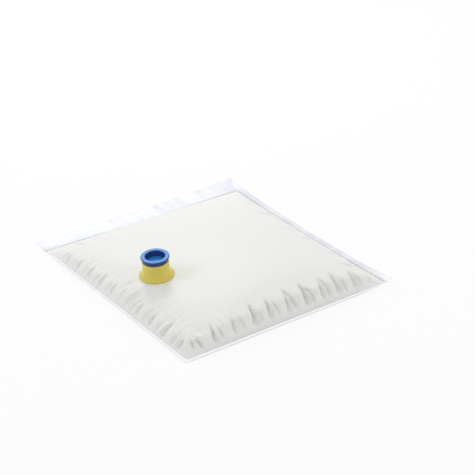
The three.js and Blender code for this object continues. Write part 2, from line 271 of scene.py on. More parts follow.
def wall_point(side, share):
    """How far in and what share of the rise, at a share of the way along a wall's profile."""
    if side in STANDING:
        turn = share * math.pi / 2
        return SHOULDER[side] * (1 - math.cos(turn)), math.sin(turn)
    return SHOULDER[side] * share, math.sin(share * math.pi / 2)


def wall_length(side):
    total = 0.0
    last = Vector((0.0, 0.0))
    for step in range(1, WALK_STEPS + 1):
        inset, rise = wall_point(side, step / WALK_STEPS)
        point = Vector((inset, rise * WALL[side]))
        total += (point - last).length
        last = point
    return total


wall_film = {side: wall_length(side) for side in SIDES}
flat_x = wall_film["left"] + 2 * half_x - SHOULDER["left"] - SHOULDER["right"] + wall_film["right"]
flat_y = wall_film["near"] + 2 * half_y - SHOULDER["near"] - SHOULDER["far"] + wall_film["far"]
sheet_x = FIN["left"] + flat_x + FIN["right"]
sheet_y = FIN["near"] + flat_y + FIN["far"]


def along_wall(side, film):
    """The inset and share of rise after a length of film in from the weld."""
    if film <= 0:
        return film, 0.0
    if film >= wall_film[side]:
        return SHOULDER[side] + film - wall_film[side], 1.0
    return wall_point(side, film / wall_film[side])


def across(film, total, low_end, high_end, low_side, high_side):
    """Where a length of film lies: by its true length, and evenly spread as it is along a weld."""
    if film < 0:
        return low_end + film, low_end + film
    if film > total:
        return high_end + film - total, high_end + film - total
    true_low = low_end + along_wall(low_side, film)[0]
    true_high = high_end - along_wall(high_side, total - film)[0]
    true = lerp(true_low, true_high, smooth(*TRUE_LENGTH_SHARES, film / total))
    return true, lerp(low_end, high_end, film / total)


def weld_lengths(film_x, film_y):
    """The film's length in from each weld, for a place on the flat sheet. It is below zero on a fin."""
    in_x = film_x - FIN["left"]
    in_y = film_y - FIN["near"]
    return {"near": in_y, "far": flat_y - in_y, "left": in_x, "right": flat_x - in_x}


print(f"flat sheet {sheet_x:.1f} by {sheet_y:.1f} mm")

# %% [markdown]
# The creases are what the eye reads first. A simulation alone puts them anywhere, and a painted bump would
# vanish from the side, so they are listed one by one where the photograph has them, with a few fine ones
# between. Each one is a valley that starts above the weld, leans a little, is deepest on the shoulder of
# the wall, and runs out on the top. This cell only says how deep they are: a soft trough goes in before the
# film settles, and a sharp fold after it.

# %% Creases
# Place along the side, half width at the weld, depth, reach along the film, and lean of the far end
CREASES = {
    "near": [
        (-150, 6, 3.0, 30, 4), (-138, 7, 4.0, 36, -5), (-122, 8, 5.0, 50, 6), (-108, 6, 3.0, 34, -4),
        (-92, 7, 4.0, 40, 5), (-76, 6, 3.0, 36, -3), (-60, 9, 6.0, 66, 8), (-47, 6, 3.5, 40, -5),
        (-35, 8, 5.5, 58, 6), (-20, 6, 3.5, 40, -4), (-6, 7, 4.0, 46, 5), (8, 9, 6.5, 70, -7),
        (24, 8, 6.0, 78, 6), (37, 7, 4.5, 52, -5), (50, 6, 4.0, 44, 4), (64, 9, 6.0, 64, -6),
        (76, 8, 6.0, 70, 6), (90, 7, 4.5, 46, -4), (104, 8, 5.0, 52, 5), (117, 8, 5.5, 56, -5),
        (131, 6, 3.5, 36, 4),
    ],
    "left": [
        (-160, 6, 3.0, 30, 2), (-146, 7, 4.0, 36, -3), (-128, 9, 5.0, 48, 4), (-112, 6, 3.0, 32, -3),
        (-98, 6, 3.5, 36, 3), (-82, 8, 4.5, 42, -3), (-68, 6, 3.5, 34, 3), (-54, 7, 4.0, 38, -3),
        (-40, 8, 5.0, 58, -2), (-22, 6, 3.0, 32, -3), (-6, 6, 3.0, 34, 4), (8, 6, 2.5, 28, -3),
        (22, 7, 3.5, 38, 4), (36, 6, 2.5, 28, -3), (50, 7, 3.5, 38, 4), (64, 6, 2.5, 28, -3),
        (78, 6, 3.0, 32, 3), (92, 6, 2.5, 26, -3), (104, 6, 3.0, 30, 3), (118, 6, 2.5, 26, -3),
        (132, 5, 2.0, 22, 2),
    ],
    "right": [
        (-140, 8, 1.6, 40, 5), (-96, 8, 1.4, 36, -4), (-52, 9, 1.6, 44, 5), (-8, 8, 1.2, 36, -4),
        (40, 9, 1.4, 44, 5), (88, 8, 1.2, 36, -4), (124, 8, 1.2, 36, 4),
    ],
    "far": [
        (-134, 8, 1.4, 36, 5), (-104, 9, 1.8, 46, -6), (-72, 8, 1.4, 38, 4), (-38, 9, 1.8, 50, -5),
        (-6, 8, 1.4, 38, 4), (30, 9, 1.6, 44, -5), (66, 8, 1.4, 38, 4), (104, 9, 1.6, 40, -4),
    ],
}
CREASE_TIP = 2.0
SOFT_SHARE = 0.5
SOFT_WIDTH = 1.2
SHARP_SHARE = 1.05
SHARP_WIDTH = 0.8
RIDGE_SHARE = 0.55
WALL_SHARE = 0.8
REACH_SHARE = 0.42
CREASE_CUTOFF = 2.5
CREASE_STARTS = (0.12, 0.6)
CREASE_ENDS = (0.5, 1.0)
FOLD_HALF_WIDTH = 0.66
RIDGE_PLACE = 1.05
RIDGE_WIDTH = 0.5
CORNER_FADE = (-6, 14)
CORNER_LEAN = 0.35


def crease_fade(side, film, run):
    """A crease starts above the weld, is deepest on the shoulder and runs out on the top."""
    return smooth(*CREASE_STARTS, film / wall_film[side]) * (1 - smooth(*CREASE_ENDS, run))


def corner_fade(from_weld, from_corner):
    """Creases die away towards a corner, where two sides meet."""
    return smooth(*CORNER_FADE, from_corner - from_weld * CORNER_LEAN)


def crease_depth(side, along, film, sharp):
    """Depth of all the creases of a side at a point: a soft trough, or a sharp fold with a ridge."""
    depth = 0.0
    for place, half_width, deep, reach, lean in CREASES[side]:
        run = film / (wall_film[side] * WALL_SHARE + reach * REACH_SHARE)
        if not 0 < run < 1:
            continue
        width = lerp(half_width, CREASE_TIP, run) * (SHARP_WIDTH if sharp else SOFT_WIDTH)
        off = (along - place - lean * run) / width
        if abs(off) > CREASE_CUTOFF:
            continue
        if sharp:
            turned_off = off if lean > 0 else -off
            fold = max(0.0, 1 - abs(turned_off) / FOLD_HALF_WIDTH)
            ridge = math.exp(-((turned_off - RIDGE_PLACE) / RIDGE_WIDTH) ** 2)
            depth += SHARP_SHARE * deep * crease_fade(side, film, run) * (fold - RIDGE_SHARE * ridge)
        else:
            depth += SOFT_SHARE * deep * crease_fade(side, film, run) * math.exp(-off ** 2)
    return depth


print("creases:", {side: len(places) for side, places in CREASES.items()})

# %% [markdown]
# One function gives the height of the top film for a filled bag: a wall that rises from the weld, and a low
# crown on top. An inflated mesh would end at some height of its own, and with a formula the height is known
# from the start. The spout is stiff, so the film under it is a small flat seat that leans as the spout
# does, and it runs smoothly back into the bag.

# %% Height of the top film
cap_pull = next(joint for joint in frame["joints"] if joint["name"] == "cap_pull")
spout_axis = Vector(cap_pull["axis"]).normalized()
spout_low, spout_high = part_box("spout")
FLANGE_RADIUS = 23.4
PATCH_RADIUS = 27.0
SEAT_BLEND = 34.0
lean = math.acos(spout_axis.z)
seat_x = (spout_high[0] / MM) - FLANGE_RADIUS * math.cos(lean)
seat_y = (spout_low[1] + spout_high[1]) / 2 / MM
seat_z = (spout_low[2] / MM) + FLANGE_RADIUS * math.sin(lean)
seat_slope = math.tan(lean)
SEAT_CLEARANCE = 0.35


def film_height(x, y, rise):
    away = {
        "near": y - chamber["near"],
        "right": chamber["right"] - x,
        "far": chamber["far"] - y,
        "left": x - chamber["left"],
    }
    weights = 0.0
    walls = 0.0
    for side in SIDES:
        weight = 1 / (max(away[side], 0) + WALL_BLEND) ** 2
        weights += weight
        walls += weight * WALL[side]
    nearest = sorted(max(value, 0) for value in away.values())
    pinch = 1 - math.exp(-(nearest[0] + nearest[1]) / CORNER_PINCH)
    over_x = clamp(abs(x - middle_x) / half_x) ** CROWN_POWER
    over_y = clamp(abs(y - middle_y) / half_y) ** CROWN_POWER
    return SEAM_HEIGHT + rise * pinch * walls / weights + CROWN_HEIGHT * (1 - over_x) * (1 - over_y)


def seat_height(x):
    return seat_z - SEAT_CLEARANCE + seat_slope * (x - seat_x)


print("seat", [round(v, 2) for v in (seat_x, seat_y, seat_z)], "lean", round(math.degrees(lean), 2))

# %% [markdown]
# The fins are the welded borders, film with nothing between. They could be left flat, but then they look
# like card. They lie close to the floor, the wide one at the far end waves a little, and three corners
# stand up as small ears, because the filled bag pulls the welds tight between them.

# %% Fins
# Height, waves along the side, and where they start
RIPPLES = [(0.7, 4.0, 0.4), (0.35, 9.0, 1.9), (0.2, 17.0, 4.0)]
EDGE_BLEND = 1.0


def edge_height(x, y):
    away = {
        "left": max(x + BAG_WIDTH / 2, 0),
        "right": max(BAG_WIDTH / 2 - x, 0),
        "near": max(y + BAG_LENGTH / 2, 0),
        "far": max(BAG_LENGTH / 2 - y, 0),
    }
    weights = 0.0
    height = 0.0
    for side in SIDES:
        weight = 1 / (away[side] + EDGE_BLEND) ** 2
        weights += weight
        height += weight * EDGE[side]
    height /= weights
    for (first, second), corner in CORNER.items():
        pull = math.exp(-math.hypot(away[first], away[second]) / CORNER_REACH)
        height = lerp(height, corner, pull)
    return height


def ripple(share):
    return sum(size * math.sin(2 * math.pi * count * share + start) for size, count, start in RIPPLES)


def fin_height(x, y, film_x, weld):
    """Height of the top film on a fin: from the weld down to the cut edge, with waves in the far fin."""
    out = max(-weld[side] / FIN[side] for side in SIDES)
    height = lerp(SEAM_HEIGHT, edge_height(x, y), clamp(out))
    if weld["far"] < 0:
        share = film_x / sheet_x
        height += ripple(share) * clamp(out) * math.sin(math.pi * share)
    return max(height, FIN_THICKNESS + FLOOR_CLEARANCE)


print("fins of", FIN, "mm")

# %% [markdown]
# A filled bag is smaller than its flat films, and its sides curve in between the corners, because the welds
# don't stretch while the walls rise. The standing walls also belly out over the floor. These are small
# moves of a few millimetres, each with its own helper, so that one can be changed without the others.

# %% Pull of the welds, belly and taper
BELLY_ARCH = 3
BELLY_START = 40
TAPER_START = -140
INWARDS = {
    "near": Vector((0, 1, 0)),
    "far": Vector((0, -1, 0)),
    "left": Vector((1, 0, 0)),
    "right": Vector((-1, 0, 0)),
}


def weld_pull(x, y, deep):
    """How far the filled bag draws a point in, and how near the middle of each side it is, from 0 to 1."""
    side_x = clamp(2 * x / BAG_WIDTH, -1, 1)
    side_y = clamp(2 * y / BAG_LENGTH, -1, 1)
    arch_x = math.cos(math.pi / 2 * side_x)
    arch_y = math.cos(math.pi / 2 * side_y)
    hold = clamp(1 - deep / PULL_REACH)
    pull_x = (PULL["left"] * smooth(0, 1, -side_x) - PULL["right"] * smooth(0, 1, side_x)) * arch_y * hold
    pull_y = (PULL["near"] * smooth(0, 1, -side_y) - PULL["far"] * smooth(0, 1, side_y)) * arch_x * hold
    return pull_x, pull_y, arch_x, arch_y


def belly(side, rise, arch, from_corner):
    """How far a standing wall bellies out, most at half its height."""
    swell = BULGE[side] * math.sin(math.pi * rise)
    return swell * clamp(BELLY_ARCH * arch) * smooth(0, BELLY_START, from_corner)


def press_soft_creases(top, x, y, weld, rises):
    """Move a point in by the soft creases of all sides: sideways at the foot of a wall, down at its top."""
    for side, inwards in INWARDS.items():
        ends = ("left", "right") if side in ("near", "far") else ("near", "far")
        depth = crease_depth(side, x if side in ("near", "far") else y, weld[side], False)
        if depth > 0:
            fade = corner_fade(weld[side], min(weld[end] for end in ends))
            direction = inwards * math.sqrt(1 - rises[side] ** 2) - Vector((0, 0, rises[side]))
            top += direction * depth * fade


def taper_far(point):
    """Move a point out towards the far edge at the left end, where the far fin is narrower."""
    beyond = point.y - chamber["far"]
    share = 1 - beyond / FIN["far"] if beyond > 0 else smooth(TAPER_START, 0, beyond)
    point.y += FAR_TAPER * clamp(share) * clamp(0.5 - point.x / BAG_WIDTH)


print("belly of the standing walls", {side: BULGE[side] for side in STANDING}, "mm")

# %% [markdown]
# Every point of the sheet knows its place on the flat film, and this function moves it to where a filled
# bag would hold it. It gives two points: one of the top film, and the one of the bottom film under it,
# which lies on the floor and curls up to the weld. A little noise keeps the large surfaces from being
# perfect.

# %% One point of the film
SKIN_NOISE = 0.12
SKIN_SIZE = 9
SKIN_START = (0, 8)
SWELL_NOISE = 0.5
SWELL_SIZE = 46
SWELL_START = (10, 50)
SWELL_SLICE = 5


def film_point(film_x, film_y):
    """Top point, point of the bottom film under it, and the film's length in from the nearest weld."""
    weld = weld_lengths(film_x, film_y)
    true_x, even_x = across(weld["left"], flat_x, chamber["left"], chamber["right"], "left", "right")
    true_y, even_y = across(weld["near"], flat_y, chamber["near"], chamber["far"], "near", "far")
    deep_x = min(weld["left"], weld["right"])
    deep_y = min(weld["near"], weld["far"])
    deep = min(deep_x, deep_y)
    x = lerp(even_x, true_x, smooth(0, EDGE_MIX, deep_y))
    y = lerp(even_y, true_y, smooth(0, EDGE_MIX, deep_x))
    pull_x, pull_y, arch_x, arch_y = weld_pull(x, y, deep)
    low_x, low_y = x + pull_x, y + pull_y
    if deep <= 0:
        height = fin_height(x, y, film_x, weld)
        return Vector((low_x, low_y, height)), Vector((low_x, low_y, height - FIN_THICKNESS)), deep
    rises = {side: along_wall(side, weld[side])[1] for side in SIDES}
    height = film_height(x, y, min(rises.values()))
    skin = noise.noise(Vector((film_x / SKIN_SIZE, film_y / SKIN_SIZE, 0)))
    swell = noise.noise(Vector((film_x / SWELL_SIZE, film_y / SWELL_SIZE, SWELL_SLICE)))
    height += SKIN_NOISE * skin * smooth(*SKIN_START, deep)
    height += SWELL_NOISE * swell * smooth(*SWELL_START, deep)
    top = Vector((low_x, low_y, height))
    top.x -= belly("left", rises["left"], arch_y, deep_y)
    top.y -= belly("near", rises["near"], arch_x, deep_x)
    press_soft_creases(top, x, y, weld, rises)
    on_seat = 1 - smooth(PATCH_RADIUS, PATCH_RADIUS + SEAT_BLEND, math.hypot(x - seat_x, y - seat_y))
    top.z = lerp(top.z, seat_height(x), on_seat)
    inset = min(low_x - chamber["left"], chamber["right"] - low_x, low_y - chamber["near"],
                chamber["far"] - low_y)
    low_z = (SEAM_HEIGHT - FIN_THICKNESS) * clamp(1 - inset / BELLY_RADIUS) ** 2
    top.z = max(top.z, low_z + FIN_THICKNESS)
    return top, Vector((low_x, low_y, low_z)), deep


print(f"the middle of the bag is {film_point(sheet_x / 2, sheet_y / 2)[0].z:.1f} mm high")

# %% [markdown]
# Now a plain grid takes the place of the top film, and each of its points is moved by that function. A grid
# is the right start for cloth, because its squares are even and can shear and bend. Three facts stay on
# each point as attributes: its place on the flat film, its place on the bottom film, and its length in from
# the weld.

# %% Lay the film over the liquid
GRID_STEP = 3.4
columns = round(sheet_x / GRID_STEP)
rows = round(sheet_y / GRID_STEP)
noise.seed_set(3)

bm = bmesh.new()
bmesh.ops.create_grid(bm, x_segments=columns, y_segments=rows, size=0.5)
flat_layer = bm.verts.layers.float_vector.new("flat")
low_layer = bm.verts.layers.float_vector.new("low")
inside_layer = bm.verts.layers.float.new("inside")
flat_places = []
depths = []
for vertex in bm.verts:
    place = Vector(((vertex.co.x + 0.5) * sheet_x, (vertex.co.y + 0.5) * sheet_y, 0))
    top, bottom, deep = film_point(place.x, place.y)
    taper_far(top)
    taper_far(bottom)
    flat_places.append(place * MM)
    depths.append(deep)
    vertex[flat_layer] = place
    vertex[low_layer] = bottom
    vertex[inside_layer] = deep
    vertex.co = top * MM
film = object_from(bm, "film_sheet")
print("film sheet of", len(film.data.vertices), "points")

# %% [markdown]
# Blender's Cloth now lets the film settle. Its rest shape is the flat sheet, a light pressure from inside
# stands for the liquid, and the welds, the fins and the seat of the spout are pinned. A bag could be blown
# up from two flat sheets this way, but that needs hundreds of frames and its size can't be held. Here
# eighteen short frames are enough, because the film starts almost where it ends, and it buckles by itself
# between the creases that were placed.

# %% Let the film settle
SIM_FRAMES = 18
SIM_PRESSURE = 1.0
LONGEST_MOVE = 5.0

film.shape_key_add(name="filled")
rest = film.shape_key_add(name="flat")
for point, place in zip(rest.data, flat_places):
    point.co = place
pinned = film.vertex_groups.new(name="pinned")
pressed = film.vertex_groups.new(name="pressed")
for index, vertex in enumerate(film.data.vertices):
    reach = math.hypot(vertex.co.x / MM - seat_x, vertex.co.y / MM - seat_y)
    group = pinned if depths[index] <= GRID_STEP / 2 or reach < PATCH_RADIUS else pressed
    group.add([index], 1.0, "REPLACE")
cloth = film.modifiers.new("cloth", "CLOTH")
settings = cloth.settings
settings.quality = 6
settings.mass = 1e-6
settings.tension_stiffness = 60
settings.compression_stiffness = 60
settings.shear_stiffness = 30
settings.bending_stiffness = 0.02
settings.tension_damping = 5
settings.compression_damping = 5
settings.shear_damping = 5
settings.air_damping = 2
settings.vertex_group_mass = "pinned"
settings.rest_shape_key = rest
settings.use_pressure = True
settings.uniform_pressure_force = SIM_PRESSURE
settings.vertex_group_pressure = "pressed"
settings.effector_weights.gravity = 0
cloth.collision_settings.use_collision = False
cloth.point_cache.frame_start = 1
cloth.point_cache.frame_end = SIM_FRAMES
before = [vertex.co.copy() for vertex in film.data.vertices]
for step in range(1, SIM_FRAMES + 1):
    scene.frame_set(step)
graph = bpy.context.evaluated_depsgraph_get()
settled = [vertex.co.copy() for vertex in film.evaluated_get(graph).data.vertices]
scene.frame_set(1)
film.modifiers.clear()
film.shape_key_clear()
longest = 0.0
for vertex, start, end in zip(film.data.vertices, before, settled):
    move = end - start
    longest = max(longest, move.length / MM)
    if move.length > LONGEST_MOVE * MM:
        move *= LONGEST_MOVE * MM / move.length
    vertex.co = start + move
print(f"film settled, longest move {longest:.1f} mm")

# %% [markdown]
# The settled film is divided once, so that its points are less than two millimetres apart, and only then do
# the creases get their sharp folds. Cloth this coarse can't make a fold that thin. Each one is a narrow
# valley with a small ridge on one side, like paper that was pinched. Fine wrinkles run in from the welds
# between them and out from the spout. All of them are pressed in along the film's normal, so they show on a
# standing wall as well as on top.

# %% Sharp folds
WRINKLE_HEIGHT = {"near": 1.5, "left": 1.2, "right": 0.6, "far": 0.6}
SEAT_WRINKLE = 0.8
SIDE_NOISE = {"near": 0.0, "left": 31.0, "right": 57.0, "far": 83.0}
WRINKLE_WIDTH = 4.8
WRINKLE_LENGTH = 24
WRINKLE_STARTS = (2, 18)
WRINKLE_ENDS = (26, 66)
SEAT_WRINKLE_TURN = 3.2
SEAT_WRINKLE_LENGTH = 34
SEAT_WRINKLE_ENDS = (38, 70)
PATCH_RIM = 8

division = film.modifiers.new("division", "SUBSURF")
division.levels = 1
division.render_levels = 1
graph = bpy.context.evaluated_depsgraph_get()
fine = bpy.data.meshes.new_from_object(film.evaluated_get(graph))
bpy.data.objects.remove(film)


def fold_depth(place, x, y):
    """How far a point of the fine film is pressed in, in millimetres."""
    weld = weld_lengths(place.x, place.y)
    deep_x = min(weld["left"], weld["right"])
    deep_y = min(weld["near"], weld["far"])
    total = 0.0
    walls = (("near", x, deep_x), ("far", x, deep_x), ("left", y, deep_y), ("right", y, deep_y))
    for side, along, from_corner in walls:
        from_weld = weld[side]
        fade = corner_fade(from_weld, from_corner)
        total += crease_depth(side, along, from_weld, True) * fade
        grain = noise.noise(Vector((along / WRINKLE_WIDTH, from_weld / WRINKLE_LENGTH, SIDE_NOISE[side])))
        starts = smooth(*WRINKLE_STARTS, from_weld)
        total += WRINKLE_HEIGHT[side] * grain * fade * starts * (1 - smooth(*WRINKLE_ENDS, from_weld))
    off_x, off_y = x - seat_x, y - seat_y
    away = math.hypot(off_x, off_y)
    turn_x = SEAT_WRINKLE_TURN * off_x / max(away, 1)
    turn_y = SEAT_WRINKLE_TURN * off_y / max(away, 1)
    around = Vector((turn_x, turn_y, away / SEAT_WRINKLE_LENGTH))
    total += SEAT_WRINKLE * noise.noise(around) * (1 - smooth(*SEAT_WRINKLE_ENDS, away))
    return total * smooth(PATCH_RADIUS, PATCH_RADIUS + PATCH_RIM, away)


bm = bmesh.new()
bm.from_mesh(fine)
bm.normal_update()
flat_layer = bm.verts.layers.float_vector["flat"]
shifts = []
for vertex in bm.verts:
    depth = fold_depth(vertex[flat_layer], vertex.co.x / MM, vertex.co.y / MM)
    shifts.append(vertex.normal * depth * MM)
for vertex, shift in zip(bm.verts, shifts):
    vertex.co -= shift
bm.to_mesh(fine)
bm.free()
print("fine film of", len(fine.vertices), "points")

# %% [markdown]
# The film becomes an envelope: the sheet is copied for the bottom film, and the two outlines are bridged. A
# Solidify modifier could thicken one film, but it can't close a bag. The liquid is made in the same way
# from the part of the sheet inside the welds, moved in by a tenth of a millimetre so that it never touches
# the film. The distance in from the liquid's edge and from the cut edge stay on both as attributes, so that
# the materials know fin from filled bag. The margins are below zero where the white seems to run a little
# way into a narrow weld.

# %% Envelope and liquid
LIQUID_INSET = 0.105
LIQUID_DEPTH = 0.2
WHOLE_SHEET = -1e9
MARGIN = {"near": -2.4, "right": -0.2, "far": 0.0, "left": -2.2}


def liquid_reach(place):
    """How far a point is inside the edge of the liquid."""
    weld = weld_lengths(place.x, place.y)
    return min(weld[side] - MARGIN[side] for side in SIDES)


def closed_pair(name, inset, keep_from):
    """A closed body between the top and bottom films, from the points deeper than keep_from."""
    pair = bmesh.new()
    pair.from_mesh(fine)
    pair.normal_update()
    flat = pair.verts.layers.float_vector["flat"]
    low = pair.verts.layers.float_vector["low"]
    inside = pair.verts.layers.float["inside"]
    shifts = [vertex.normal * inset * MM for vertex in pair.verts]
    for vertex, shift in zip(pair.verts, shifts):
        vertex.co -= shift
        vertex.co.z = max(vertex.co.z, vertex[low].z * MM + FIN_THICKNESS * MM - inset * MM)
    outside = [vertex for vertex in pair.verts if vertex[inside] < keep_from]
    bmesh.ops.delete(pair, geom=outside, context="VERTS")
    made = bmesh.ops.duplicate(pair, geom=pair.verts[:] + pair.edges[:] + pair.faces[:])
    for item in made["geom"]:
        if isinstance(item, bmesh.types.BMVert):
            item.co = item[low] * MM + Vector((0, 0, inset * MM))
    faces = [item for item in made["geom"] if isinstance(item, bmesh.types.BMFace)]
    bmesh.ops.reverse_faces(pair, faces=faces)
    rims = [edge for edge in pair.edges if edge.is_boundary]
    for edge in rims:
        edge.smooth = False
    bmesh.ops.bridge_loops(pair, edges=rims)
    bmesh.ops.recalc_face_normals(pair, faces=pair.faces[:])
    from_edge = pair.verts.layers.float.new("from_edge")
    for vertex in pair.verts:
        place = vertex[flat]
        vertex[inside] = liquid_reach(place)
        vertex[from_edge] = min(place.x, sheet_x - place.x, place.y, sheet_y - place.y)
    return object_from(pair, name)


envelope = closed_pair("film_envelope", 0.0, WHOLE_SHEET)
liquid = closed_pair("white_liquid", LIQUID_INSET, LIQUID_DEPTH)
print("envelope faces", len(envelope.data.polygons), "liquid faces", len(liquid.data.polygons))

# %% [markdown]
# The spout and the cap are moulded round parts. They could be stacked from cylinders, but then each step
# would be a seam. Here each is one profile of radius and height, spun about its own axis, and the whole
# piece is then leaned and moved to the seat. Every corner of a profile is cut to a small arc first, as a
# mould would leave it.

# %% Turned parts
SPIN_STEPS = 128
CORNER_STEPS = 4
EDGE_LIMIT = 2.2
DOUBLES = 1e-6
base = Vector((seat_x, seat_y, seat_z)) * MM
stand = Matrix.Translation(base) @ Vector((0, 0, 1)).rotation_difference(spout_axis).to_matrix().to_4x4()


def turned(name, profile):
    """A closed profile of radius and height in millimetres, spun about the spout's axis."""
    bm = bmesh.new()
    points = [bm.verts.new((radius * MM, 0, height * MM)) for radius, height in profile]
    edges = []
    for first, second in zip(points, points[1:]):
        edges.append(bm.edges.new((first, second)))
    if profile[0][0] > 0:
        edges.append(bm.edges.new((points[-1], points[0])))
    bmesh.ops.spin(bm, geom=points + edges, cent=(0, 0, 0), axis=(0, 0, 1), dvec=(0, 0, 0),
                   angle=2 * math.pi, steps=SPIN_STEPS, use_merge=True)
    bmesh.ops.remove_doubles(bm, verts=bm.verts, dist=DOUBLES)
    bmesh.ops.recalc_face_normals(bm, faces=bm.faces[:])
    bm.transform(stand)
    return object_from(bm, name)


def rounded(profile, radius):
    """The profile with each corner cut to a small arc, which takes less than half of the edges beside it."""
    points = [Vector(point) for point in profile]
    result = []
    closed = profile[0][0] > 0
    for index, point in enumerate(points):
        if not closed and index in (0, len(points) - 1):
            result.append(tuple(point))
            continue
        before = points[index - 1] - point
        after = points[(index + 1) % len(points)] - point
        cut = min(radius, before.length / EDGE_LIMIT, after.length / EDGE_LIMIT)
        start = point + before.normalized() * cut
        end = point + after.normalized() * cut
        for step in range(CORNER_STEPS + 1):
            share = step / CORNER_STEPS
            first = start.lerp(point, share)
            second = point.lerp(end, share)
            result.append(tuple(first.lerp(second, share)))
    return result


print("turned parts stand at", [round(c, 4) for c in base], "with", SPIN_STEPS, "steps to a turn")

# %% [markdown]
# The spout has a flat flange that is welded to the film, a skirt that sweeps up to the neck, two thin bands
# on the neck where a tap would snap on, and a lip. The bore goes right through, because the cap's plug sits
# in it.

# %% Spout
BORE_RADIUS = 13.6
NECK_HEIGHT = 22.0
LIP_RADIUS = 18.2
spout_outline = [
    (BORE_RADIUS, 0.0), (FLANGE_RADIUS, 0.0), (FLANGE_RADIUS, 1.6), (22.2, 2.1), (20.3, 3.6), (18.9, 5.6),
    (17.9, 7.9), (17.2, 10.2), (17.0, 11.5), (17.6, 11.8), (17.6, 12.2), (17.0, 12.5), (17.0, 15.2),
    (17.6, 15.5), (17.6, 15.9), (17.0, 16.2), (17.0, 19.3), (LIP_RADIUS, 20.6), (LIP_RADIUS, NECK_HEIGHT),
    (14.4, NECK_HEIGHT), (BORE_RADIUS, 21.2),
]
SPOUT_ROUNDING = 0.35
spout = turned("yellow_spout", rounded(spout_outline, SPOUT_ROUNDING))
print("spout faces", len(spout.data.polygons))

# %% [markdown]
# The cap is a press-in plug with a flared rim that a finger can get under, and a round recess in its top.
# Its profile runs from the foot of the plug up the outside, over the rim and down into the recess, and it
# ends on the axis, so the spin closes it by itself.

# %% Cap
CAP_RADIUS = 19.0
CAP_FOOT = 22.3
CAP_TOP = 29.0
RECESS_FLOOR = 21.0
cap_outline = [
    (0.0, 19.4), (11.7, 19.4), (11.7, 13.3), (12.7, 13.3), (13.3, 13.9), (13.3, CAP_FOOT), (16.5, CAP_FOOT),
    (18.3, 26.6), (CAP_RADIUS, 27.3), (CAP_RADIUS, CAP_TOP - 0.5), (18.4, CAP_TOP), (13.6, CAP_TOP),
    (13.1, 28.4), (11.7, 21.5), (11.2, RECESS_FLOOR), (0.0, RECESS_FLOOR),
]
CAP_ROUNDING = 0.4
cap = turned("blue_cap", rounded(cap_outline, CAP_ROUNDING))
print("cap faces", len(cap.data.polygons))

# %% [markdown]
# Materials follow. One helper makes a material and hands back its shader, and another adds fine noise as
# bump, because no moulded or blown surface is perfectly even. All noise is read in object coordinates,
# which are metres here, so its scale means the same thing on every piece.

# %% Material helpers
def new_material(name, roughness):
    material = bpy.data.materials.new(name)
    material.use_nodes = True
    shader = material.node_tree.nodes["Principled BSDF"]
    shader.inputs["Roughness"].default_value = roughness
    return material, shader


def node(tree, kind, **values):
    made = tree.nodes.new(kind)
    for name, value in values.items():
        setattr(made, name, value)
    return made


def object_noise(tree, scale, detail, squeeze=(1, 1, 1)):
    """A noise texture in object coordinates, in metres."""
    place = node(tree, "ShaderNodeTexCoord")
    mapping = node(tree, "ShaderNodeMapping")
    mapping.inputs["Scale"].default_value = squeeze
    texture = node(tree, "ShaderNodeTexNoise")
    texture.inputs["Scale"].default_value = scale
    texture.inputs["Detail"].default_value = detail
    tree.links.new(place.outputs["Object"], mapping.inputs["Vector"])
    tree.links.new(mapping.outputs["Vector"], texture.inputs["Vector"])
    return texture


def map_range(tree, source, from_low, from_high, to_low, to_high):
    made = node(tree, "ShaderNodeMapRange")
    made.inputs["From Min"].default_value = from_low
    made.inputs["From Max"].default_value = from_high
    made.inputs["To Min"].default_value = to_low
    made.inputs["To Max"].default_value = to_high
    tree.links.new(source, made.inputs["Value"])
    return made.outputs["Result"]


def bump(tree, shader, height, distance, strength):
    made = node(tree, "ShaderNodeBump")
    made.inputs["Strength"].default_value = strength
    made.inputs["Distance"].default_value = distance
    tree.links.new(height, made.inputs["Height"])
    tree.links.new(made.outputs["Normal"], shader.inputs["Normal"])


print("material helpers ready")

# %% [markdown]
# The white liquid shows through the film as a clean, slightly warm white. It could be given real
# scattering, which is slow to render, so it is a soft diffuse white with a little gloss instead. It ends
# close to the weld along a slightly uneven line with a thin grey edge, which is painted shade where the
# liquid thins into the weld. That line is drawn by the distance attribute with some noise, and past it the
# liquid is see-through.

# %% White liquid
milk, shader = new_material("white_liquid", 0.6)
tree = milk.node_tree
shader.inputs["Specular IOR Level"].default_value = 0.15
shader.inputs["Coat Weight"].default_value = 0.03
shader.inputs["Coat Roughness"].default_value = 0.15
inside = node(tree, "ShaderNodeAttribute", attribute_name="inside")
edge_noise = object_noise(tree, 60.0, 3.0)
wander = map_range(tree, edge_noise.outputs["Fac"], 0.3, 0.7, -0.9, 1.1)
line = node(tree, "ShaderNodeMath", operation="ADD")
tree.links.new(inside.outputs["Fac"], line.inputs[0])
tree.links.new(wander, line.inputs[1])
cover = map_range(tree, line.outputs[0], 0.2, 0.7, 0.0, 1.0)
tree.links.new(cover, shader.inputs["Alpha"])
# Painted shade: a grey at the liquid's edge where it thins into the weld, rising to the liquid's own warm
# white.
tone = node(tree, "ShaderNodeValToRGB")
tone.color_ramp.elements[0].position = 0.0
tone.color_ramp.elements[0].color = (0.62, 0.62, 0.59, 1)
tone.color_ramp.elements[1].position = 1.0
tone.color_ramp.elements[1].color = (0.878, 0.874, 0.846, 1)
tree.links.new(map_range(tree, line.outputs[0], 0.2, 2.6, 0.0, 1.0), tone.inputs["Fac"])
tree.links.new(tone.outputs["Color"], shader.inputs["Base Color"])
liquid.data.materials.append(milk)
print("white liquid:", len(tree.nodes), "nodes")

# %% [markdown]
# The clear film is glossy and almost invisible over the liquid. In the fins it shows as a bluish, milky
# sheen with streaks, where the two layers touch and part. Glass with refraction would need a real thickness
# and darkens the fins, so the film's share of cover is its alpha instead. The weld is a milkier band, the
# cut edge is a thin brighter line, and fine wrinkles are bump.

